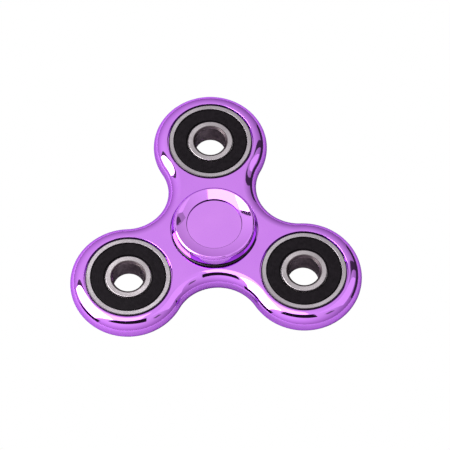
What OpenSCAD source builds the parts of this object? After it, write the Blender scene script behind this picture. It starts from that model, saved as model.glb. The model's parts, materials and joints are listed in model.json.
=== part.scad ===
// Three-lobed fidget spinner: a one-piece plated body that turns on a sealed ball
// bearing between two finger caps, with an open sealed bearing in each lobe.
// The origin is on the spin axis, in the plane that the lower cap rests on. +Z is up.
// All sizes are in millimetres.

/* [Body] */
// Distance from the spin axis to the middle of each lobe
arm_length = 26; // [26:0.5:30]
// Outside radius of each lobe, and of the waist around the hub
lobe_r = 15; // [15:0.25:16.5]
// Size of the small bevel around each bearing seat
lip = 0.15; // [0.05:0.05:0.15]
// Clear gap around each bearing, outside the land that grips it
seat_gap = 0.3; // [0.1:0.05:0.3]
// Depth of that gap below each face
seat_gap_depth = 1.2; // [0.6:0.1:2]

/* [Ball bearings] */
// Outside diameter of a bearing
bearing_d = 22; // [21.5:0.5:22]
// Bore of a bearing
bore_d = 8; // [7.5:0.5:8]
// Width of a bearing, and so the thickness of the body
bearing_w = 7; // [7:0.25:8]
// Diameter of a ball, 5/32 inch in this size of bearing
ball_d = 3.969; // [3.8:0.001:4]
// Balls in a bearing
ball_count = 7; // [5:1:7]
// Running clearance between a ball and its race, all round
race_gap = 0.05; // [0.02:0.01:0.08]
// Bevel on the outer edges of a ring
ring_bevel = 0.3; // [0.1:0.05:0.4]
// Bevel at the mouths of the bore
bore_bevel = 0.4; // [0.1:0.05:0.5]

/* [Seals] */
// Outside radius of a seal, where it sits in the outer ring
seal_outer_r = 9.74; // [9.6:0.02:9.8]
// Inside radius of a seal, where its lip runs past the inner ring
seal_inner_r = 5.95; // [5.9:0.02:6]
// Thickness of a seal
seal_t = 0.75; // [0.5:0.05:0.8]
// Depth of a seal's face below the face of the rings
seal_sink = 0.15; // [0.1:0.05:0.2]

/* [Finger caps] */
// Diameter of a cap
cap_d = 22; // [20:0.5:23]
// Height of a cap's rim above the bearing face
cap_rise = 3.2; // [3:0.1:4]
// Clear gap between a cap and the body
cap_gap = 1.2; // [0.8:0.1:1.4]
// Width of the rounded edge of a cap, seen from above
cap_edge_w = 1.1; // [0.6:0.1:1.4]
// Width of the narrow flat along the crest of the rim
crest_w = 0.2; // [0.2:0.05:0.5]
// Radius of the flat floor of the finger dish
dish_r = 7.1; // [5.5:0.1:7.5]
// Depth of the finger dish
dish_depth = 0.8; // [0.6:0.05:1.2]
// Height of the upright step around the floor of the dish
dish_step = 0.3; // [0.1:0.05:0.4]
// Radius of the shoulder that stands the cap off the inner ring
shoulder_r = 5.3; // [4.8:0.1:5.5]
// Length of the stem that is pressed into the bore
stem_length = 3.3; // [2:0.1:3.4]

/* [Hidden] */
LOBES = 3;
BEARINGS = ["centre", "lobe_a", "lobe_b", "lobe_c"];
HALVES = ["upper", "lower"];

half_w = bearing_w / 2;
mid_z = cap_rise + half_w;
bearing_r = bearing_d / 2;
bore_r = bore_d / 2;
pitch_r = (bearing_r + bore_r) / 2;
ball_r = ball_d / 2;
race_r = ball_r + race_gap;

// The outline alternates lobes with valleys, whose middles form a regular hexagon, so
// that each valley's arc runs into the lobes' arcs. It cuts a hair deeper than theirs.
blend = 0.05;
valley_r = arm_length - lobe_r + blend;
// How far the slab between the lobes runs past the corners of that hexagon
slab_margin = 0.3;

// The shoulders stand equally far inside and outside the pitch circle.
shoulder_depth = 1.45;
inner_shoulder_r = pitch_r - shoulder_depth;
outer_shoulder_r = pitch_r + shoulder_depth;

seal_top = half_w - seal_sink;
seal_bottom = seal_top - seal_t;
// A bead round the seal snaps into a groove in the outer ring.
bead_depth = 0.16;
bead_w = 0.3;
bead_low = seal_bottom + 0.15;
bead_high = bead_low + bead_w;
// The seal's face steps down along both edges.
seal_step = 0.2;
seal_margin = 0.35;

// The ends of the inner ring step in, so that the seals run clear of it.
land_step = 0.25;
inner_land_r = inner_shoulder_r - land_step;
seal_clearance = 0.1;
land_z = seal_bottom - seal_clearance;

// Play between a ball and its pocket in the cage, and the strip's own measures
pocket_gap = 0.1;
cage_t = 0.32;
cage_half_w = 0.7;
land_half_t = 0.4;

crest_r = cap_d / 2 - cap_edge_w;
stem_bevel = 0.3;

// How far round its ellipse the edge of a cap runs from the crest to the foot
EDGE_TURN = 45;

// How far a cut runs past a face, and a joined shape into the next one
over = 1;
overlap = 0.5;
$fn = 128;
BALL_FN = 64;
EDGE_STEPS = 12;

PLATED = [0.74, 0.47, 0.88];
STEEL = [0.72, 0.7, 0.71];
BALL_STEEL = [0.85, 0.85, 0.87];
CAGE_STEEL = [0.62, 0.6, 0.56];
SEAL_RUBBER = [0.14, 0.13, 0.15];

function ball_names(bearing) = [for (i = [1:ball_count]) str(bearing, "_ball_", i)];
function half_names(bearing, piece) = [for (h = HALVES) str(bearing, "_", h, "_", piece)];
function bearing_names(bearing) = concat(
    [str(bearing, "_outer_ring"), str(bearing, "_inner_ring")],
    half_names(bearing, "cage"),
    half_names(bearing, "seal"),
    ball_names(bearing)
);

// --- Places ---

function lobe_angle(i) = 90 + i * 360 / LOBES;
function on_arm_circle(angle) = arm_length * [cos(angle), sin(angle)];

module at_each_lobe()
    for (i = [0:LOBES - 1])
        translate(on_arm_circle(lobe_angle(i)))
            children();

// The middles of the valleys lie as far out as the lobes, half-way between them.
module at_each_valley()
    for (i = [0:LOBES - 1])
        translate(on_arm_circle(lobe_angle(i + 0.5)))
            children();

// The middle of a bearing: number 0 is on the spin axis, and the others are in the lobes,
// each turned to face outwards.
module at_bearing(k)
    translate([0, 0, mid_z])
        rotate([0, 0, lobe_angle(max(k - 1, 0))])
            translate([k == 0 ? 0 : arm_length, 0, 0])
                children();

// The upper half as drawn, or its mirror image below the middle plane.
module on_side(half)
    mirror([0, 0, half == "upper" ? 0 : 1])
        children();

// --- Body ---

// Flat slab between the lobes, whose corners lie just past the middles of the lobes and
// valleys. The valleys trim it.
module slab()
    linear_extrude(bearing_w, center = true)
        polygon([
            for (i = [0:2 * LOBES - 1])
                (1 + slab_margin / arm_length) * on_arm_circle(lobe_angle(i / 2))
        ]);

// Half-section of a whole lobe, with a fully rounded edge.
module lobe_section() {
    translate([0, -half_w])
        square([lobe_r - half_w, bearing_w]);
    translate([lobe_r - half_w, 0])
        intersection() {
            circle(r = half_w);
            translate([0, -half_w])
                square([half_w, bearing_w]);
        }
}

// Half-section of what a valley takes away, leaving the same rounded edge around it.
module valley_section()
    difference() {
        translate([0, -half_w - over])
            square([valley_r + half_w, bearing_w + 2 * over]);
        translate([valley_r + half_w, 0])
            circle(r = half_w);
    }

// The bearing is gripped in the middle of its width, with a gap and a bevel at each face.
module bearing_seat() {
    mouth_r = bearing_r + seat_gap;
    cylinder(r = bearing_r, h = bearing_w + 2 * over, center = true);
    for (half = HALVES)
        on_side(half) {
            translate([0, 0, half_w - seat_gap_depth])
                cylinder(r = mouth_r, h = seat_gap_depth + over);
            translate([0, 0, half_w - lip])
                cylinder(r1 = mouth_r, r2 = mouth_r + lip + over, h = lip + over);
        }
}

module body()
    color(PLATED)
        translate([0, 0, mid_z])
            difference() {
                union() {
                    slab();
                    at_each_lobe()
                        rotate_extrude()
                            lobe_section();
                }
                at_each_valley()
                    rotate_extrude()
                        valley_section();
                bearing_seat();
                at_each_lobe()
                    bearing_seat();
            }

// --- Finger caps ---

// A point of the cap's edge, part of an ellipse that starts at 0 on the crest.
function edge_point(angle) = [
    crest_r + cap_edge_w * sin(angle) / sin(EDGE_TURN),
    cap_rise - (cap_rise - cap_gap) * (1 - cos(angle)) / (1 - cos(EDGE_TURN))
];

// Half-section of the upper cap, with z = 0 in the plane of the bearing's face.
module cap_section() {
    polygon([
        [0, cap_gap],
        for (i = [EDGE_STEPS:-1:0]) edge_point(EDGE_TURN * i / EDGE_STEPS),
        [crest_r - crest_w, cap_rise],
        [dish_r, cap_rise - dish_depth + dish_step],
        [dish_r, cap_rise - dish_depth],
        [0, cap_rise - dish_depth]
    ]);
    square([shoulder_r, cap_gap + overlap]);
    polygon([
        [0, -stem_length],
        [bore_r - stem_bevel, -stem_length],
        [bore_r, stem_bevel - stem_length],
        [bore_r, over],
        [0, over]
    ]);
}

module cap()
    color(PLATED)
        translate([0, 0, half_w])
            rotate_extrude()
                cap_section();

// --- Ball bearing ---

module race_groove()
    translate([pitch_r, 0])
        circle(r = race_r);

module outer_ring()
    color(STEEL)
        rotate_extrude()
            difference() {
                polygon([
                    [outer_shoulder_r, -seal_bottom],
                    for (side = [-1, 1]) each outer_end(side),
                    [outer_shoulder_r, seal_bottom]
                ]);
                race_groove();
            }

// One end of the outer ring's section: seal seat, snap groove, face and bevel.
function outer_end(side) =
    let (points = [
        [seal_outer_r, seal_bottom],
        [seal_outer_r, bead_low],
        [seal_outer_r + bead_depth, bead_low],
        [seal_outer_r + bead_depth, bead_high],
        [seal_outer_r, bead_high],
        [seal_outer_r, half_w],
        [bearing_r - ring_bevel, half_w],
        [bearing_r, half_w - ring_bevel]
    ])
    side < 0
        ? [for (p = points) [p.x, -p.y]]
        : [for (i = [len(points) - 1:-1:0]) points[i]];

module inner_ring()
    color(STEEL)
        rotate_extrude()
            difference() {
                polygon([
                    for (side = [-1, 1]) each inner_end(side)
                ]);
                race_groove();
            }

// One end of the inner ring's section: step, land, face and bore bevel.
function inner_end(side) =
    let (points = [
        [inner_shoulder_r, land_z],
        [inner_land_r, land_z],
        [inner_land_r, half_w],
        [bore_r + bore_bevel, half_w],
        [bore_r, half_w - bore_bevel]
    ])
    side > 0
        ? points
        : [for (i = [len(points) - 1:-1:0]) [points[i].x, -points[i].y]];

module seal(half)
    color(SEAL_RUBBER)
        on_side(half)
            rotate_extrude()
                polygon([
                    [seal_inner_r, seal_bottom],
                    [seal_inner_r, seal_top - seal_step],
                    [seal_inner_r + seal_margin, seal_top],
                    [seal_outer_r - seal_margin, seal_top],
                    [seal_outer_r - seal_margin, seal_top - seal_step],
                    [seal_outer_r, seal_top - seal_step],
                    [seal_outer_r, bead_high],
                    [seal_outer_r + bead_depth, bead_high],
                    [seal_outer_r + bead_depth, bead_low],
                    [seal_outer_r, bead_low],
                    [seal_outer_r, seal_bottom]
                ]);

module at_ball(i)
    rotate([0, 0, (i - 1) * 360 / ball_count])
        translate([pitch_r, 0, 0])
            children();

module ball(i)
    color(BALL_STEEL)
        at_ball(i)
            sphere(r = ball_r, $fn = BALL_FN);

// Half of a pressed ribbon cage: flat lands between domed pockets.
module cage(half)
    color(CAGE_STEEL)
        on_side(half)
            difference() {
                intersection() {
                    rotate_extrude()
                        translate([pitch_r - cage_half_w, 0])
                            square([2 * cage_half_w, bearing_w / 2]);
                    union() {
                        cylinder(r = bearing_r, h = land_half_t);
                        for (i = [1:ball_count])
                            at_ball(i)
                                sphere(r = ball_r + pocket_gap + cage_t, $fn = BALL_FN);
                    }
                }
                for (i = [1:ball_count])
                    at_ball(i)
                        sphere(r = ball_r + pocket_gap, $fn = BALL_FN);
            }

// --- Assembly ---

body();
translate([0, 0, mid_z]) cap();  // upper_cap
translate([0, 0, mid_z]) mirror([0, 0, 1]) cap();  // lower_cap

for (k = [0:len(BEARINGS) - 1]) {
    name = BEARINGS[k];
    at_bearing(k) outer_ring();
    at_bearing(k) inner_ring();
    for (half = HALVES) {
        at_bearing(k) cage(half);
        at_bearing(k) seal(half);
    }
    for (i = [1:ball_count])
        at_bearing(k) ball(i);
}
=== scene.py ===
"""Looks of the fidget spinner: a mirror-plated body and caps, ground bearing rings and moulded seals.

The frame gives the places and the main sizes, and small details are named values here. Shapes are
worked out in millimetres and made in metres.
"""
import cmath
import json
import math

import bpy
from mathutils import Matrix, Vector
from mathutils.geometry import delaunay_2d_cdt, intersect_point_line


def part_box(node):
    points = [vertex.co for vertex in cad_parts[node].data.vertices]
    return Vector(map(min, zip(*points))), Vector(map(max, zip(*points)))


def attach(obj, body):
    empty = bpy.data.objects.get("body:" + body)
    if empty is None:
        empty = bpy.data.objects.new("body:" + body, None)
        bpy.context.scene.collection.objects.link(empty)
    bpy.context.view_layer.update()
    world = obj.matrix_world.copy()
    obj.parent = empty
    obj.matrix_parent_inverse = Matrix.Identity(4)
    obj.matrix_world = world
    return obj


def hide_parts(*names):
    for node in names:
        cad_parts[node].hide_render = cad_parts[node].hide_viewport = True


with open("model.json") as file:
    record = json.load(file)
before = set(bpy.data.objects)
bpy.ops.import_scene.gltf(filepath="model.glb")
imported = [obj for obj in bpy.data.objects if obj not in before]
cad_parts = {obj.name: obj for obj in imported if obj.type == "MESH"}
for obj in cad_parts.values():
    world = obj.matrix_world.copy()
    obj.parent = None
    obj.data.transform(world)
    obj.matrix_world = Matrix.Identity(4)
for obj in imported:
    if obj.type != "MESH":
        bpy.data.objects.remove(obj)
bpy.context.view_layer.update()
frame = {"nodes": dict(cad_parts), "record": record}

MM = 0.001
STEP = 1.25  # degrees between the stations of everything round
ARC_STEPS = 8  # faces round the arc at a corner, where it asks for no other number
BROAD_ARC_STEPS = 24  # faces round a broad arc, such as the edge of a lobe or a ball's race
BEARINGS = ("centre", "lobe_a", "lobe_b", "lobe_c")
LOBE_ANGLES = (90, 210, 330)


# --- Sizes, from the frame ---


def extent(node):
    """Lowest and highest corner of a CAD node, in millimetres."""
    low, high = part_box(node)
    return low / MM, high / MM


def middle_of(node):
    low, high = extent(node)
    return (low + high) / 2


_, body_high = extent("body")
_, ring_high = extent("centre_outer_ring")
seal_low, seal_high = extent("centre_upper_seal")
ball_low, ball_high = extent("centre_ball_1")
cap_low, cap_high = extent("upper_cap")

MID_Z = middle_of("body").z
HALF_W = body_high.z - MID_Z
BEARING_R = ring_high.x
RING_END = ring_high.z - MID_Z
ARM = middle_of("lobe_a_outer_ring").y
LOBE_R = body_high.y - ARM
VALLEY_R = ARM - LOBE_R
CAP_R = cap_high.x
CAP_TOP = cap_high.z - body_high.z
STEM_END = cap_low.z - body_high.z
BORE_R = next(m["dims"]["r_mm"] for m in frame["record"]["mounts"] if m["name"] == "lobe_a_bore")
PITCH_R = (BEARING_R + BORE_R) / 2
RACE_R = (ball_high.z - ball_low.z) / 2 + 0.05  # a little wider than its ball
SHOULDER = 1.45  # from the pitch circle to the shoulder of either ring
SEAL_TOP = seal_high.z - MID_Z
SEAL_BOTTOM = seal_low.z - MID_Z
BEAD_R = seal_high.x
SEAL_R = BEAD_R - 0.16  # the seal's disc, above and below the bead that holds it in the ring
BEAD_BOTTOM = SEAL_BOTTOM + 0.15
BEAD_TOP = SEAL_BOTTOM + 0.45
SEAL_BORE_R = 5.95


def spot(radius, degrees, centre=(0, 0)):
    angle = math.radians(degrees)
    return centre[0] + radius * math.cos(angle), centre[1] + radius * math.sin(angle)


LOBES = [spot(ARM, a) for a in LOBE_ANGLES]


# --- Meshes ---


def unit(arrow):
    return arrow / abs(arrow)


def rounded(corners, closed=True, steps=ARC_STEPS):
    """An outline through (x, y, radius) corners, each replaced by an arc that meets both its sides.

    The material lies on the left of the way along it. Gives (x, y, normal x, normal y) points.
    """
    points = []
    places = [complex(*corner[:2]) for corner in corners]
    count = len(corners)
    for i, here in enumerate(places):
        before = unit(places[i - 1] - here)
        after = unit(places[(i + 1) % count] - here)
        if not closed and i in (0, count - 1):
            normal = -1j * (after if i == 0 else -before)
            points.append((here.real, here.imag, normal.real, normal.imag))
            continue
        radius = corners[i][2]
        bend = cmath.phase(-after / before)
        half = (math.pi - abs(bend)) / 2
        centre = here + unit(before + after) * radius / math.sin(half)
        start = here + before * radius / math.tan(half) - centre
        for k in range(steps + 1):
            arm = start * cmath.rect(1, bend * k / steps)
            normal = unit(arm) * math.copysign(1, bend)
            points.append(((centre + arm).real, (centre + arm).imag, normal.real, normal.imag))
    return points


def mirrored(points):
    """The points, and then their mirror images from the last to the first, below the middle."""
    return points + [(x, -z, *radius) for x, z, *radius in reversed(points)]


def groove(centre_r, radius, start, end):
    """The hollow arc of a ball race, from one angle to another, in the form of rounded()."""
    points = []
    for k in range(BROAD_ARC_STEPS + 1):
        x, y = spot(1, start + (end - start) * k / BROAD_ARC_STEPS)
        points.append((centre_r + radius * x, radius * y, -x, -y))
    return points


class Shell:
    """Points with their true normals, and the faces between them. Points that coincide are one.

    Points coincide where they are in the same cell of a very fine grid. The grid is shifted a
    little, so that round numbers don't fall on the borders of its cells.
    """

    CELLS_PER_MM = 1e4
    SHIFT = 0.137

    def __init__(self):
        self.points = []
        self.normals = []
        self.faces = []
        self.known = {}

    def point(self, place, normal):
        key = tuple(round(c * self.CELLS_PER_MM + self.SHIFT) for c in place)
        if key not in self.known:
            self.known[key] = len(self.points)
            self.points.append(place)
            self.normals.append(normal)
        return self.known[key]

    def face(self, *corners):
        loop = [c for i, c in enumerate(corners) if c != corners[i - 1]]
        if len(loop) > 2:
            self.faces.append(loop)

    def revolve(self, outline, start=0, end=360, centre=(0, 0), closed=True):
        """Turns an outline of (radius, z) points about a vertical line."""
        stations = round((end - start) / STEP)
        angles = [start + STEP * k for k in range(stations + 1)]
        rings = []
        for r, z, nr, nz in outline:
            ring = []
            for a in angles:
                across = spot(r, a, centre)
                ring.append(self.point((*across, z), (*spot(nr, a), nz)))
            rings.append(ring)
        following = rings[1:] + rings[:1] if closed else rings[1:]
        for low, high in zip(rings, following):
            for k in range(stations):
                self.face(low[k], low[k + 1], high[k + 1], high[k])

    def mesh(self, name):
        made = bpy.data.meshes.new(name)
        made.from_pydata([Vector(p) * MM for p in self.points], [], self.faces)
        made.shade_smooth()
        made.normals_split_custom_set_from_vertices([Vector(n).normalized() for n in self.normals])
        return made


def lathe(name, outline, closed=True):
    shell = Shell()
    shell.revolve(outline, closed=closed)
    return shell.mesh(name)


def place(name, mesh, material, body, slot, replaced, at=(0, 0), turn=0, flip=False):
    """One piece of the object, standing for the CAD node that it replaces."""
    piece = bpy.data.objects.new(name, mesh)
    bpy.context.scene.collection.objects.link(piece)
    piece.location = Vector((at[0], at[1], MID_Z)) * MM
    piece.rotation_euler = (math.pi if flip else 0, 0, math.radians(turn))
    mesh.materials.clear()
    mesh.materials.append(material)
    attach(piece, body)
    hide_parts(replaced)


# --- Body ---

LIP_R = 0.09
SEAT_GAP = 0.3  # width of the dark groove between the body and each outer ring
SEAT_GAP_DEPTH = 1.2
SEAT_EDGE = 0.08
FLAT_R = LOBE_R - HALF_W  # where the flat face meets the rounded edge of a lobe
WEB_GRID = 1.1  # between the points inside a flat
WEB_MARGIN = 0.6 * WEB_GRID  # between those points and the outline of the flat


def web_outline(lobe_angle):
    """Outline, anticlockwise, of the flat between the hub, one lobe and the valleys beside it."""
    hub_arc = (0, 0), FLAT_R, lobe_angle - 60, 120
    left_arc = spot(ARM, lobe_angle + 60), VALLEY_R + HALF_W, lobe_angle - 120, 60
    lobe_arc = spot(ARM, lobe_angle), FLAT_R, lobe_angle + 120, 120
    right_arc = spot(ARM, lobe_angle - 60), VALLEY_R + HALF_W, lobe_angle + 60, 60
    loop = []
    for centre, radius, start, sweep in (hub_arc, left_arc, lobe_arc, right_arc):
        count = round(sweep / STEP)
        loop += [spot(radius, start + STEP * k, centre) for k in range(count)]
    return loop[::-1]


def web_grid(lobe_angle):
    """Points spread over that flat, clear of its outline."""
    hub_and_lobe = ((0, 0), spot(ARM, lobe_angle))
    valleys = (spot(ARM, lobe_angle + 60), spot(ARM, lobe_angle - 60))
    found = []
    reach = round(ARM / WEB_GRID)
    for i in range(-reach, reach):
        for j in range(-reach, 2 * reach):
            x = WEB_GRID * (i + 0.5 * (j % 2))
            y = WEB_GRID * j * math.sqrt(3) / 2
            turned = Matrix.Rotation(math.radians(lobe_angle - 90), 2) @ Vector((x, y))
            clear = all((turned - Vector(c)).length > FLAT_R + WEB_MARGIN for c in hub_and_lobe)
            clear &= all((turned - Vector(c)).length > VALLEY_R + HALF_W + WEB_MARGIN for c in valleys)
            share = intersect_point_line(turned, *map(Vector, hub_and_lobe))[1]
            if clear and 0 < share < 1 and abs(x) < ARM / 2:
                found.append(tuple(turned))
    return found


def add_web(shell, lobe_angle):
    """The flat faces above and below, between the hub and one lobe."""
    loop = web_outline(lobe_angle)
    points = loop + web_grid(lobe_angle)
    _, _, triangles, sources, _, owners = delaunay_2d_cdt(
        [Vector(p) for p in points], [], [list(range(len(loop)))], 0, 1e-7, True
    )
    for triangle, owner in zip(triangles, owners):
        if not owner:
            continue
        corners = [points[sources[c][0]] for c in triangle]
        shell.face(*(shell.point((*p, HALF_W), (0, 0, 1)) for p in corners))
        shell.face(*(shell.point((*p, -HALF_W), (0, 0, -1)) for p in reversed(corners)))


def body_mesh():
    seat = rounded(mirrored([
        (FLAT_R, HALF_W),
        (BEARING_R + SEAT_GAP, HALF_W, LIP_R),
        (BEARING_R + SEAT_GAP, HALF_W - SEAT_GAP_DEPTH, SEAT_EDGE),
        (BEARING_R, HALF_W - SEAT_GAP_DEPTH, SEAT_EDGE),
    ]), closed=False)
    lobe_edge = rounded([
        (FLAT_R, -HALF_W),
        (LOBE_R, -HALF_W, HALF_W),
        (LOBE_R, HALF_W, HALF_W),
        (FLAT_R, HALF_W),
    ], closed=False, steps=BROAD_ARC_STEPS)
    valley_edge = rounded([
        (VALLEY_R + HALF_W, HALF_W),
        (VALLEY_R, HALF_W, HALF_W),
        (VALLEY_R, -HALF_W, HALF_W),
        (VALLEY_R + HALF_W, -HALF_W),
    ], closed=False, steps=BROAD_ARC_STEPS)
    shell = Shell()
    for lobe_angle in LOBE_ANGLES:
        add_web(shell, lobe_angle)
        shell.revolve(lobe_edge, lobe_angle - 120, lobe_angle + 120, spot(ARM, lobe_angle), False)
        shell.revolve(valley_edge, lobe_angle + 180, lobe_angle + 300, spot(ARM, lobe_angle + 60), False)
    for centre in [(0, 0)] + LOBES:
        shell.revolve(seat, centre=centre, closed=False)
    return shell.mesh("body_shell")


# --- Finger caps ---

CAP_GAP = 1.2  # from the body's face up to the foot of the cap's side
SHOULDER_R = 5.3  # the shoulder that rests on the inner ring
EDGE_W = 1.1  # from the crest out to the foot of the side
EDGE_STEPS = 24
CAP_ARC_STEPS = 6
FOOT_TURN = 45  # how far round its ellipse the cap's edge starts, in degrees
CREST_R = CAP_R - EDGE_W
CREST_W = 0.2  # width of the flat on top of the rim
DISH_R = 7.1
DISH_STEPS = 12
DISH_TILTS = (7, 15)  # slope of the dish at its floor and at its crest, in degrees
DISH_STEP = 0.4  # height of the steep step round the dish's floor
DISH_STEP_W = 0.03


def cap_edge():
    """Part of an ellipse from the foot of the cap's side up to its crest."""
    foot_x, foot_y = spot(1, FOOT_TURN)
    width = EDGE_W / foot_x
    height = (CAP_TOP - CAP_GAP) / (1 - foot_y)
    points = []
    for k in range(EDGE_STEPS + 1):
        x, y = spot(1, FOOT_TURN + (90 - FOOT_TURN) * k / EDGE_STEPS)
        normal = unit(complex(x / width, y / height))
        points.append((CREST_R + width * x, CAP_TOP - height * (1 - y), normal.real, normal.imag))
    return points


def cap_dish():
    """From the crest inwards: a slope that grows gentler, then a small step, then the flat floor."""
    start = CREST_R - CREST_W
    at_floor, at_crest = (math.radians(tilt) for tilt in DISH_TILTS)
    points = []
    for k in range(DISH_STEPS + 1):
        inwards = (start - DISH_R) * (k / DISH_STEPS)
        tilt = at_floor + (at_crest - at_floor) * (1 - k / DISH_STEPS)
        drop = inwards * math.tan((tilt + at_crest) / 2)
        points.append((start - inwards, CAP_TOP - drop, -math.sin(tilt), math.cos(tilt)))
    floor = points[-1][1] - DISH_STEP
    step = rounded([
        points[-2][:2],
        (*points[-1][:2], 0.04),
        (DISH_R - DISH_STEP_W, floor, 0.03),
        (0, floor),
    ], closed=False, steps=CAP_ARC_STEPS)
    return points[:-1] + step[1:]


def cap_mesh():
    """A whole cap: its stem, the shoulder above the inner ring, its side and its dish."""
    edge = cap_edge()
    corners = [
        (0, STEM_END),
        (BORE_R, STEM_END, 0.3),
        (BORE_R, 0, 0.04),
        (SHOULDER_R, 0, 0.08),
        (SHOULDER_R, CAP_GAP, 0.25),
        edge[0][:2] + (0.06,),
        edge[1][:2],
    ]
    outline = rounded(corners, closed=False, steps=CAP_ARC_STEPS)[:-1] + edge[1:] + cap_dish()
    lifted = [(x, z + HALF_W, *normal) for x, z, *normal in outline]
    return lathe("finger_cap", lifted, closed=False)


# --- Bearings ---

RING_BEVEL = 0.3
BORE_BEVEL = 0.4
INNER_FACE_R = 5.8
RING_EDGE = 0.05
RING_ARC_STEPS = 5
SEAL_EDGE = 0.04
SEAL_ARC_STEPS = 4
RACE_TURN = math.degrees(math.acos(SHOULDER / RACE_R))  # from the middle of a race to its end
RACE_END = RACE_R * math.sin(math.radians(RACE_TURN))  # the height there


def outer_ring_mesh():
    shoulder_r = PITCH_R + SHOULDER
    upper = rounded([
        (BEARING_R, 0),
        (BEARING_R, RING_END, RING_BEVEL),
        (SEAL_R, RING_END, 0.07),
        (SEAL_R, BEAD_TOP, RING_EDGE),
        (BEAD_R, BEAD_TOP, RING_EDGE),
        (BEAD_R, BEAD_BOTTOM, RING_EDGE),
        (SEAL_R, BEAD_BOTTOM, RING_EDGE),
        (SEAL_R, SEAL_BOTTOM, RING_EDGE),
        (shoulder_r, SEAL_BOTTOM, 0.12),
        (shoulder_r, RACE_END),
    ], closed=False, steps=RING_ARC_STEPS)
    race = groove(PITCH_R, RACE_R, RACE_TURN, -RACE_TURN)
    lower = [(x, -z, nx, -nz) for x, z, nx, nz in reversed(upper)]
    return lathe("outer_ring", upper + race + lower)


def inner_ring_mesh():
    shoulder_r = PITCH_R - SHOULDER
    land_z = SEAL_BOTTOM - 0.1  # the seal's lip runs above it
    upper = rounded([
        (shoulder_r, RACE_END),
        (shoulder_r, land_z, 0.1),
        (INNER_FACE_R, land_z, RING_EDGE),
        (INNER_FACE_R, RING_END, 0.14),
        (BORE_R + BORE_BEVEL, RING_END, 0.12),
        (BORE_R, RING_END - BORE_BEVEL, 0.12),
        (BORE_R, 0),
    ], closed=False, steps=RING_ARC_STEPS)
    race = groove(PITCH_R, RACE_R, 180 + RACE_TURN, 180 - RACE_TURN)
    lower = [(x, -z, nx, -nz) for x, z, nx, nz in reversed(upper)]
    return lathe("inner_ring", upper + lower + race)


def seal_mesh():
    """A seal seen from outside: a flat moulded band between two grooves, with a bead at the rim."""
    outer_floor = SEAL_TOP - 0.28
    inner_floor = SEAL_TOP - 0.4
    outer_foot = SEAL_R - 0.35
    inner_foot = SEAL_BORE_R + 0.3
    corners = [
        (SEAL_BORE_R, SEAL_BOTTOM, SEAL_EDGE),
        (SEAL_R, SEAL_BOTTOM, SEAL_EDGE),
        (SEAL_R, BEAD_BOTTOM, SEAL_EDGE),
        (BEAD_R, BEAD_BOTTOM, SEAL_EDGE),
        (BEAD_R, BEAD_TOP, SEAL_EDGE),
        (SEAL_R, BEAD_TOP, SEAL_EDGE),
        (SEAL_R, outer_floor, SEAL_EDGE),
        (outer_foot, outer_floor, SEAL_EDGE),
        (outer_foot, SEAL_TOP, 0.08),
        (inner_foot + 0.12, SEAL_TOP, 0.12),
        (inner_foot, inner_floor, SEAL_EDGE),
        (SEAL_BORE_R, inner_floor, SEAL_EDGE),
    ]
    return lathe("seal", rounded(corners, steps=SEAL_ARC_STEPS))


# --- Materials ---


def new_material(name, **settings):
    """A Principled material with values set on its shader's own sockets. Also gives its tree and shader."""
    material = bpy.data.materials.new(name)
    material.use_nodes = True
    shader = material.node_tree.nodes["Principled BSDF"]
    for socket, value in settings.items():
        shader.inputs[socket.replace("_", " ")].default_value = value
    return material, material.node_tree, shader


def node(tree, kind, inputs=None, **settings):
    made = tree.nodes.new(kind)
    for key, value in settings.items():
        setattr(made, key, value)
    for socket, value in (inputs or {}).items():
        if isinstance(value, bpy.types.NodeSocket):
            tree.links.new(value, made.inputs[socket])
        else:
            made.inputs[socket].default_value = value
    return made


def millimetres(tree):
    """The object's own coordinates, in millimetres."""
    coordinates = node(tree, "ShaderNodeTexCoord")
    return scaled(tree, coordinates.outputs["Object"], 1 / MM)


def scaled(tree, vector, factor):
    made = node(tree, "ShaderNodeVectorMath", {0: vector, "Scale": factor}, operation="SCALE")
    return made.outputs["Vector"]


def calculate(tree, operation, first, second=0.0):
    return node(tree, "ShaderNodeMath", {0: first, 1: second}, operation=operation).outputs["Value"]


def noise(tree, vector, scale, detail, seed, **inputs):
    inputs = {"Vector": vector, "Scale": scale, "Detail": detail, "W": seed, **inputs}
    return node(tree, "ShaderNodeTexNoise", inputs, noise_dimensions="4D").outputs["Fac"]


def ramp(tree, value, low, high, to_low, to_high):
    return node(tree, "ShaderNodeMapRange", {
        "Value": value, "From Min": low, "From Max": high, "To Min": to_low, "To Max": to_high,
    }).outputs["Result"]


def mix(tree, share, first, second):
    made = node(tree, "ShaderNodeMix", {0: share}, data_type="RGBA")
    for socket, value in ((6, first), (7, second)):
        if isinstance(value, bpy.types.NodeSocket):
            tree.links.new(value, made.inputs[socket])
        else:
            made.inputs[socket].default_value = (*value, 1)
    return made.outputs[2]


def bump(tree, height, distance_mm, normal=None):
    inputs = {"Height": height, "Distance": distance_mm * MM, "Strength": 1.0}
    if normal is not None:
        inputs["Normal"] = normal
    return node(tree, "ShaderNodeBump", inputs).outputs["Normal"]


def from_axis(tree, vector):
    """A point's way out from the object's own vertical axis, and how far it is."""
    flat = node(tree, "ShaderNodeVectorMath", {0: vector, 1: (1, 1, 0)}, operation="MULTIPLY")
    way = flat.outputs["Vector"]
    return way, node(tree, "ShaderNodeVectorMath", {0: way}, operation="LENGTH").outputs["Value"]


def band(tree, value, low, high, blur):
    """1 between two values and 0 outside them, with a blurred border inside each."""
    above = ramp(tree, value, low, low + blur, 0, 1)
    below = ramp(tree, value, high - blur, high, 1, 0)
    return calculate(tree, "MULTIPLY", above, below)


# Painted shade: the dark colour laid into the corner of the dish's step
STEP_CORNER_SHADE = (0.02, 0.004, 0.025)


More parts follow.
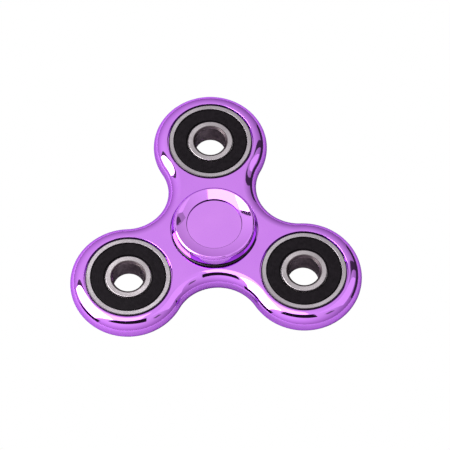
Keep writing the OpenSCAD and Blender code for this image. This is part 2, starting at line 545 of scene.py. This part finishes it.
def plating(name, colour, second, step_r=None):
    """Vacuum-plated plastic: a tinted mirror under clear lacquer, with the wave of the moulding under it.

    A dark band of painted shade lies in the corner of a step at step_r from the object's axis, where one is
    given.
    """
    material, tree, shader = new_material(
        name,
        Metallic=1.0,
        Specular_Tint=(0.75, 0.35, 1.0, 1),
        Coat_Weight=0.25,
        Coat_Roughness=0.02,
        Coat_IOR=1.5,
    )
    place_mm = millimetres(tree)
    tone = noise(tree, place_mm, 0.12, 2, 0.3)
    plated = mix(tree, ramp(tree, tone, 0.35, 0.65, 0, 1), colour, second)
    if step_r is not None:
        # Painted shade in the corner of the step
        _, radius = from_axis(tree, place_mm)
        corner_shade = band(tree, radius, step_r - 0.08, step_r + 0.09, 0.025)
        plated = mix(tree, corner_shade, plated, STEP_CORNER_SHADE)
    tree.links.new(plated, shader.inputs["Base Color"])
    haze = ramp(tree, noise(tree, place_mm, 0.5, 4, 1.7), 0.35, 0.75, 0.028, 0.06)
    scuffs = ramp(tree, noise(tree, place_mm, 9.0, 2, 2.1, Distortion=3.0), 0.68, 0.8, 0.0, 0.10)
    tree.links.new(calculate(tree, "ADD", haze, scuffs), shader.inputs["Roughness"])
    wave = noise(tree, place_mm, 0.16, 1, 5.0)
    peel = noise(tree, place_mm, 0.9, 2, 6.0)
    normal = bump(tree, wave, 0.045)
    normal = bump(tree, peel, 0.0022, normal)
    tree.links.new(normal, shader.inputs["Normal"])
    return material


STAIN = (0.03, 0.025, 0.03)


def ground_steel(name, light, dark, bevel, bore, ground_from, ground_to):
    """Bearing steel. The face between two radii is ground bright, with fine rings round its axis.

    The bevels and the bore beside that face are darker. On the outer ring the near-black bevel colour is
    painted shade, of the gap round the ring and of the cap above it; random stains darken them further.
    """
    material, tree, shader = new_material(name, Metallic=1.0, IOR=2.5, Anisotropic=0.35)
    place_mm = millimetres(tree)
    chance = node(tree, "ShaderNodeObjectInfo").outputs["Random"]
    way, radius = from_axis(tree, place_mm)
    turn = node(tree, "ShaderNodeVectorMath", {0: way}, operation="NORMALIZE").outputs["Vector"]
    parts = node(tree, "ShaderNodeSeparateXYZ", {0: turn}).outputs
    height = node(tree, "ShaderNodeSeparateXYZ", {0: place_mm}).outputs["Z"]
    rings = node(tree, "ShaderNodeCombineXYZ", {0: parts["X"], 1: parts["Y"], 2: chance}).outputs["Vector"]
    across = calculate(tree, "ADD", radius, height)
    lines = noise(tree, scaled(tree, rings, 1.3), 14.0, 4, across)
    stain = noise(tree, place_mm, 0.55, 4, 3.0)
    tone = calculate(tree, "ADD", ramp(tree, lines, 0.3, 0.7, 0, 0.6), ramp(tree, stain, 0.4, 0.7, 0, 0.4))
    ground = mix(tree, tone, light, dark)
    # Painted shade: the dark bevel colour stands for shade in the gap round the ring; random stains go over
    # it
    shade_and_stain = mix(tree, ramp(tree, radius, BORE_R + 0.02, BORE_R + 0.06, 0, 1), bore, bevel)
    shade_and_stain = mix(tree, ramp(tree, stain, 0.3, 0.7, 0, 0.6), shade_and_stain, STAIN)
    face = band(tree, radius, ground_from - 0.02, ground_to + 0.02, 0.05)
    tree.links.new(mix(tree, face, shade_and_stain, ground), shader.inputs["Base Color"])
    tree.links.new(ramp(tree, lines, 0.25, 0.75, 0.24, 0.42), shader.inputs["Roughness"])
    normal = bump(tree, lines, 0.004)
    normal = bump(tree, noise(tree, place_mm, 7.0, 3, 4.0), 0.0015, normal)
    tree.links.new(normal, shader.inputs["Normal"])
    return material


DUST = (0.05, 0.045, 0.05)


def seal_rubber():
    """Moulded nitrile rubber: a fine matt skin with faint rings from the mould and a little dust."""
    material, tree, shader = new_material("seal_rubber", Specular_IOR_Level=0.06)
    place_mm = millimetres(tree)
    _, radius = from_axis(tree, place_mm)
    mottle = noise(tree, place_mm, 1.2, 5, 0.5)
    dust = noise(tree, place_mm, 6.0, 2, 1.5)
    skin = mix(tree, ramp(tree, mottle, 0.35, 0.7, 0, 1), (0.003, 0.002, 0.003), (0.006, 0.0045, 0.006))
    colour = mix(tree, ramp(tree, dust, 0.72, 0.8, 0, 0.5), skin, DUST)
    tree.links.new(colour, shader.inputs["Base Color"])
    tree.links.new(ramp(tree, mottle, 0.3, 0.7, 0.42, 0.6), shader.inputs["Roughness"])
    ridge = calculate(tree, "SINE", calculate(tree, "MULTIPLY", radius, 14.0))
    normal = bump(tree, ridge, 0.0035)
    normal = bump(tree, noise(tree, place_mm, 12.0, 4, 2.5), 0.012, normal)
    tree.links.new(normal, shader.inputs["Normal"])
    return material


def ball_steel():
    """Polished steel under a thin film of grease."""
    material, tree, shader = new_material("ball_steel", Metallic=1.0)
    film = noise(tree, millimetres(tree), 0.8, 3, 0.2)
    tree.links.new(mix(tree, film, (0.78, 0.78, 0.80), (0.66, 0.65, 0.66)), shader.inputs["Base Color"])
    tree.links.new(ramp(tree, film, 0.3, 0.7, 0.06, 0.16), shader.inputs["Roughness"])
    return material


def cage_steel():
    """Pressed steel strip with a coarse grain."""
    material, tree, shader = new_material("cage_steel", Metallic=1.0)
    grain = noise(tree, millimetres(tree), 3.0, 5, 0.2)
    tree.links.new(mix(tree, grain, (0.55, 0.52, 0.47), (0.38, 0.36, 0.33)), shader.inputs["Base Color"])
    tree.links.new(ramp(tree, grain, 0.3, 0.7, 0.25, 0.5), shader.inputs["Roughness"])
    tree.links.new(bump(tree, grain, 0.01), shader.inputs["Normal"])
    return material


# --- Pieces ---

STAIN_W = 0.6  # the bevel and the darkened band round it, at the mouth of the bore
RING_TURN = 90  # each bearing sits turned by a different amount

body_plating = plating("body_plating", (0.63, 0.23, 0.88), (0.60, 0.215, 0.86))
cap_plating = plating("cap_plating", (0.67, 0.26, 0.90), (0.64, 0.245, 0.88), DISH_R)
# The outer ring's near-black bevel colour is painted shade of the seat's gap and of the cap above
outer_steel = ground_steel(
    "outer_ring_steel", light=(0.40, 0.37, 0.396), dark=(0.29, 0.26, 0.28),
    bevel=(0.06, 0.05, 0.06), bore=(0.06, 0.05, 0.06),
    ground_from=PITCH_R, ground_to=BEARING_R - RING_BEVEL,
)
inner_steel = ground_steel(
    "inner_ring_steel", light=(0.43, 0.40, 0.42), dark=(0.29, 0.26, 0.27),
    bevel=(0.10, 0.08, 0.085), bore=(0.44, 0.38, 0.38),
    ground_from=BORE_R + STAIN_W, ground_to=PITCH_R,
)
rubber = seal_rubber()
balls = ball_steel()
cages = cage_steel()

place("body_shell", body_mesh(), body_plating, "rotor", "body", "body")
cap = cap_mesh()
place("upper_finger_cap", cap, cap_plating, "hub", "caps", "upper_cap")
place("lower_finger_cap", cap, cap_plating, "hub", "caps", "lower_cap", flip=True)

outer_ring = outer_ring_mesh()
inner_ring = inner_ring_mesh()
seal = seal_mesh()
for k, bearing in enumerate(BEARINGS):
    at = tuple(middle_of(bearing + "_outer_ring").xy)
    turn = RING_TURN * k
    inner_body = "hub" if bearing == "centre" else bearing + "_inner"
    place(bearing + "_outer_ring_ground", outer_ring, outer_steel, "rotor", "outer_rings",
          bearing + "_outer_ring", at, turn)
    place(bearing + "_inner_ring_ground", inner_ring, inner_steel, inner_body, "inner_rings",
          bearing + "_inner_ring", at, 2 * turn)
    for side in ("upper", "lower"):
        place(f"{bearing}_{side}_seal_moulded", seal, rubber, "rotor", "seals",
              f"{bearing}_{side}_seal", at, turn, side == "lower")

for name, cad_node in frame["nodes"].items():
    if "_ball_" in name or name.endswith("_cage"):
        cad_node.data.materials.clear()
        cad_node.data.materials.append(balls if "_ball_" in name else cages)


# --- Studio ---

TARGET = Vector((0, 0, body_high.z)) * MM  # the camera and the panels are set out from here
TENT_R = 2.0  # in metres, as is the side of the floor
FLOOR_SIDE = 8
FLOOR_Z = -0.3 * MM
TABLE_Z = -0.05 * MM
OPEN_TABLE = (0.47, 0.41, 0.50)
# Painted shadow: the table's colour near the object
TABLE_PAINTED_SHADOW = (0.31, 0.27, 0.335)
SHADE_REACH = (34, 80)  # where the painted shadow on the table starts to fade and where it ends, in millimetres


def direction(azimuth, elevation):
    """Unit vector to a compass point: 0 is the camera's side, 90 is right, 180 the far side."""
    a, e = math.radians(azimuth), math.radians(elevation)
    return Vector((math.sin(a) * math.cos(e), -math.cos(a) * math.cos(e), math.sin(e)))


def glow(name, radiance):
    material = bpy.data.materials.new(name)
    material.use_nodes = True
    tree = material.node_tree
    tree.nodes.clear()
    emission = node(tree, "ShaderNodeEmission", {"Color": (1, 1, 1, 1), "Strength": radiance})
    output = node(tree, "ShaderNodeOutputMaterial")
    tree.links.new(emission.outputs["Emission"], output.inputs["Surface"])
    return material


def link(name, mesh, seen):
    made = bpy.data.objects.new(name, mesh)
    bpy.context.scene.collection.objects.link(made)
    made.visible_camera = seen


def card(name, radiance, distance, *corners):
    """A panel with its corners at (azimuth, elevation) as the object sees them, unseen by the camera."""
    mesh = bpy.data.meshes.new(name)
    mesh.from_pydata([TARGET + direction(*corner) * distance for corner in corners], [], [(0, 1, 2, 3)])
    mesh.materials.append(glow(name, radiance))
    link(name, mesh, False)


def square(name, side, height, material):
    mesh = bpy.data.meshes.new(name)
    corners = ((-1, -1), (1, -1), (1, 1), (-1, 1))
    mesh.from_pydata([(side / 2 * x, side / 2 * y, height) for x, y in corners], [], [(0, 1, 2, 3)])
    mesh.materials.append(material)
    return mesh


def studio_floor():
    """A white floor for the camera, and just above it the grey table that the object reflects.

    The table's colour is darker near the object: a painted shadow of the object.
    """
    link("floor", square("floor", FLOOR_SIDE, FLOOR_Z, glow("floor", 1.0)), True)
    grey, tree, shader = new_material("grey_table", Roughness=1.0)
    away = node(tree, "ShaderNodeVectorMath", {0: millimetres(tree)}, operation="LENGTH").outputs["Value"]
    # Painted shadow: the table's colour darkens towards the object
    tone = mix(tree, ramp(tree, away, *SHADE_REACH, 0, 1), TABLE_PAINTED_SHADOW, OPEN_TABLE)
    tree.links.new(tone, shader.inputs["Base Color"])
    link("grey_table", square("grey_table", 2 * TENT_R, TABLE_Z, grey), False)


def studio_tent():
    """White cloth all round, unseen by the camera: dimmer low down, to the right and at the far side."""
    directions = [spot(1, elevation) for elevation in range(0, 91, 5)]
    outline = [(TENT_R / MM * x, TENT_R / MM * z, -x, -z) for x, z in directions]
    mesh = lathe("tent", outline, closed=False)
    material = glow("tent_cloth", 1.0)
    tree = material.node_tree
    position = node(tree, "ShaderNodeNewGeometry").outputs["Position"]
    way = node(tree, "ShaderNodeVectorMath", {0: position}, operation="NORMALIZE").outputs["Vector"]
    height = node(tree, "ShaderNodeSeparateXYZ", {0: way}).outputs["Z"]
    rise = ramp(tree, height, 0, 1, 0.47, 1.16)
    sides = node(tree, "ShaderNodeVectorMath", {0: way, 1: (-0.35, -0.2, 0)}, operation="DOT_PRODUCT")
    sides = ramp(tree, sides.outputs["Value"], -1, 1, 0, 2)
    tree.links.new(calculate(tree, "MULTIPLY", rise, sides), tree.nodes["Emission"].inputs["Strength"])
    tint = mix(tree, ramp(tree, height, 0, 0.85, 0, 1), (1.02, 0.80, 1.10), (1, 1, 1))
    tree.links.new(tint, tree.nodes["Emission"].inputs["Color"])
    mesh.materials.append(material)
    link("tent", mesh, False)


def studio_world():
    world = bpy.data.worlds.new("studio")
    world.use_nodes = True
    background = world.node_tree.nodes["Background"]
    background.inputs["Color"].default_value = (1, 1, 1, 1)
    background.inputs["Strength"].default_value = 1.0
    bpy.context.scene.world = world


def studio_camera():
    """Looks down at the spinner from in front, a little to the left of its middle line."""
    azimuth, elevation, roll = -3.10, 62.48, 0.81
    distance, aside, above = 588.4, 2.779, 0.861
    back = direction(azimuth, elevation)
    across = Vector((0, 0, 1)).cross(back).normalized()
    up = back.cross(across)
    lean = Matrix.Rotation(math.radians(roll), 3, back)
    across, up = lean @ across, lean @ up
    data = bpy.data.cameras.new("camera")
    data.lens = 182.2
    data.sensor_width = 36
    camera = bpy.data.objects.new("camera", data)
    bpy.context.scene.collection.objects.link(camera)
    turned = Matrix((across, up, back)).transposed().to_4x4()
    turned.translation = TARGET + (back * distance + across * aside + up * above) * MM
    camera.matrix_world = turned
    bpy.context.scene.camera = camera


# Every panel: its name, its radiance, its distance in metres, and its corners in degrees
card("left_softbox", 9.0, 0.60, (-104, 17), (-148.3, 67.1), (-50, 68.5), (-56, 19))
card("left_softbox_edge", 0.1, 0.61, (-102, 14), (-121, 40), (-105, 45), (-98, 22))
card("left_softbox_top_edge", 0.1, 0.61, (-121, 40), (-151.2, 65.1), (-127, 70), (-105, 45))
card("left_stand", 0.02, 0.60, (-87, 4), (-50, -2), (-48, 21), (-82, 13))
card("overhead_light", 2.7, 0.90, (-150, 66.6), (166, 75.5), (40, 81), (-50, 68))
card("right_softbox", 1.2, 0.62, (133, 62), (106, 26), (66, 28), (52, 74))
card("right_softbox_edge", 0.07, 0.62, (141, 53), (128, 51), (109, 5), (118, 5))
card("right_softbox_top_edge", 0.55, 0.62, (148, 62), (130, 62), (127, 51), (142, 53))
card("right_softbox_clamp", 0.12, 0.61, (142, 57), (132, 57), (128, 51), (139, 52))
card("right_stand", 0.05, 0.62, (78, 1), (140, 2), (138, 19), (80, 18))
card("camera_shade", 0.02, 0.80, (-42, 47), (27, 49), (45, 76), (-47, 73))
card("camera_arm", 0.26, 0.80, (40, 51), (53, 52), (54, 38), (42, 41))
studio_world()
studio_tent()
studio_floor()
studio_camera()
bpy.context.scene.view_settings.view_transform = "Standard"
